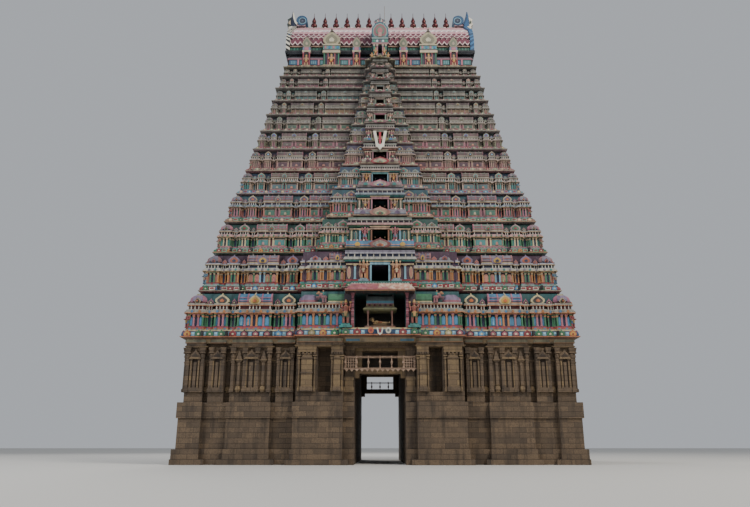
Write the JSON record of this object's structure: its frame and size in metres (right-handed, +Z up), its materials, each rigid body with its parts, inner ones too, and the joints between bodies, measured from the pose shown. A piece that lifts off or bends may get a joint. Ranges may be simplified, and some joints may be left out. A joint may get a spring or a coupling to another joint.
{
  "type": "gopuram, a temple gateway tower, as a scale model at 1:2",
  "caption": "Tall stepped temple gateway tower: a granite base with a gate passage, hollow painted stucco storeys set back one on another, and a barrel roof with pot finials.",
  "frame": {"origin": "centre of the footprint on the ground", "axes": "+Z up; the front with its shrine doorway faces -Y; +X to the right of someone looking at the front"},
  "size_m": [19.46, 15, 29.9],
  "materials": {
    "granite": "weathered brown granite masonry, carved and dusty",
    "timber": "turned and painted timber, faded",
    "painted_stucco": "lime stucco on brick, painted in many colours and weathered",
    "cornice_stucco": "moulded lime stucco with painted bands and medallions",
    "roof_stucco": "fish-scale stucco painted maroon and pale pink",
    "blue_stucco": "blue painted stucco",
    "canopy_tile": "pale pink roof tiles on a red timber frame",
    "finial_copper": "dark red lacquered copper pots",
    "rod_steel": "weathered galvanised rod",
    "mark_paint": "painted sheet, white strokes with a red one between"
  },
  "bodies": {
    "root": {"cornice_01": "cornice_stucco", "cornice_02": "cornice_stucco", "cornice_03": "cornice_stucco", "cornice_04": "cornice_stucco", "cornice_05": "cornice_stucco", "cornice_06": "cornice_stucco", "cornice_07": "cornice_stucco", "cornice_08": "cornice_stucco", "cornice_09": "cornice_stucco", "cornice_10": "cornice_stucco", "cornice_11": "cornice_stucco", "cornice_12": "cornice_stucco", "cornice_13": "cornice_stucco", "storey_01_walls": "painted_stucco", "storey_02_walls": "painted_stucco", "storey_03_walls": "painted_stucco", "storey_04_walls": "painted_stucco", "storey_05_walls": "painted_stucco", "storey_06_walls": "painted_stucco", "storey_07_walls": "painted_stucco", "storey_08_walls": "painted_stucco", "storey_09_walls": "painted_stucco", "storey_10_walls": "painted_stucco", "storey_11_walls": "painted_stucco", "storey_12_walls": "painted_stucco", "plinth_left": "granite", "base_wall_left": "granite", "plinth_right": "granite", "base_wall_right": "granite", "base_entablature": "granite", "gate_lintel_front": "granite", "gate_rail_front": "timber", "gate_lintel_back": "granite", "gate_rail_back": "timber", "door_canopy_front": "canopy_tile", "door_canopy_back": "canopy_tile", "doorway_shrine": "blue_stucco", "reclining_figure": "painted_stucco", "neck_walls": "painted_stucco", "roof_floor": "cornice_stucco", "roof_vault": "roof_stucco", "centre_dormer_front": "painted_stucco", "centre_dormer_back": "painted_stucco", "end_gable_left": "blue_stucco", "end_gable_right": "blue_stucco", "ridge_and_finials": "finial_copper", "ridge_rod": "rod_steel", "forehead_mark": "mark_paint"}
  },
  "joints": []
}
